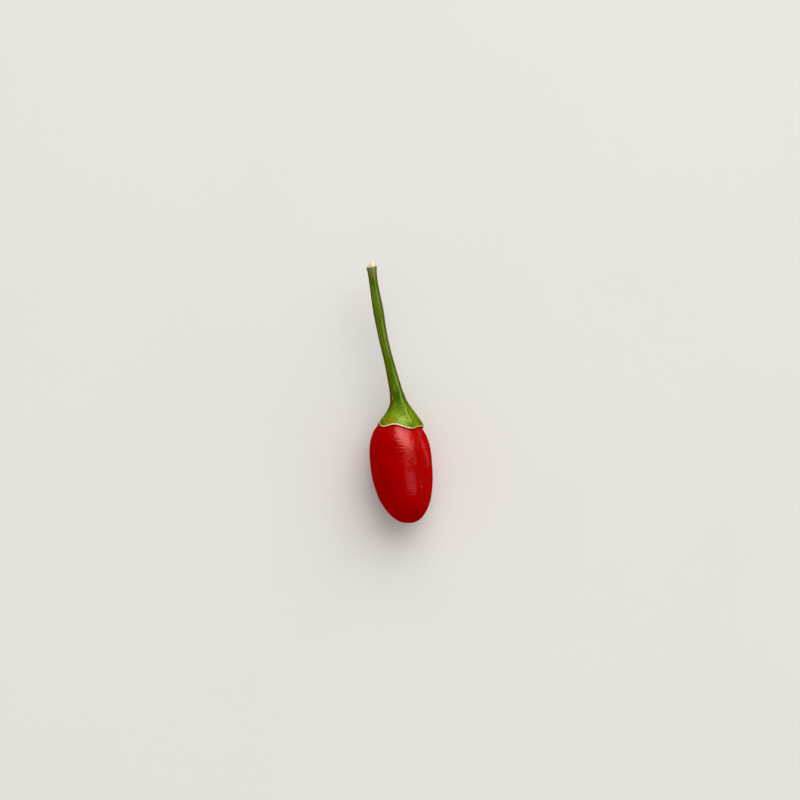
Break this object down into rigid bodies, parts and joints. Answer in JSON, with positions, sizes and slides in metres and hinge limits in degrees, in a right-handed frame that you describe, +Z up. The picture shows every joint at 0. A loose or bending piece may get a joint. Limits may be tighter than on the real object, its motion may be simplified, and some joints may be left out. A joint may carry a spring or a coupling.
{
  "type": "bird's eye chili pepper",
  "caption": "Small ripe red bird's eye chili, lying on its side: a plump oval pod with a toothed green calyx and a long ribbed stem with a torn end.",
  "frame": {"origin": "middle of the small flat spot under the pod's belly, on the surface that the pepper rests on", "axes": "+Z up, +Y along the pepper from the pod's tip towards the stem's torn end, +X to the right when it is seen from above with the stem pointing away"},
  "size_m": [0.0083, 0.0327, 0.0074],
  "materials": {
    "pod_skin": "satin, waxy",
    "green_stem": "fresh green plant skin"
  },
  "bodies": {
    "root": {"pod": "pod_skin", "calyx_and_stem": "green_stem"}
  },
  "joints": []
}
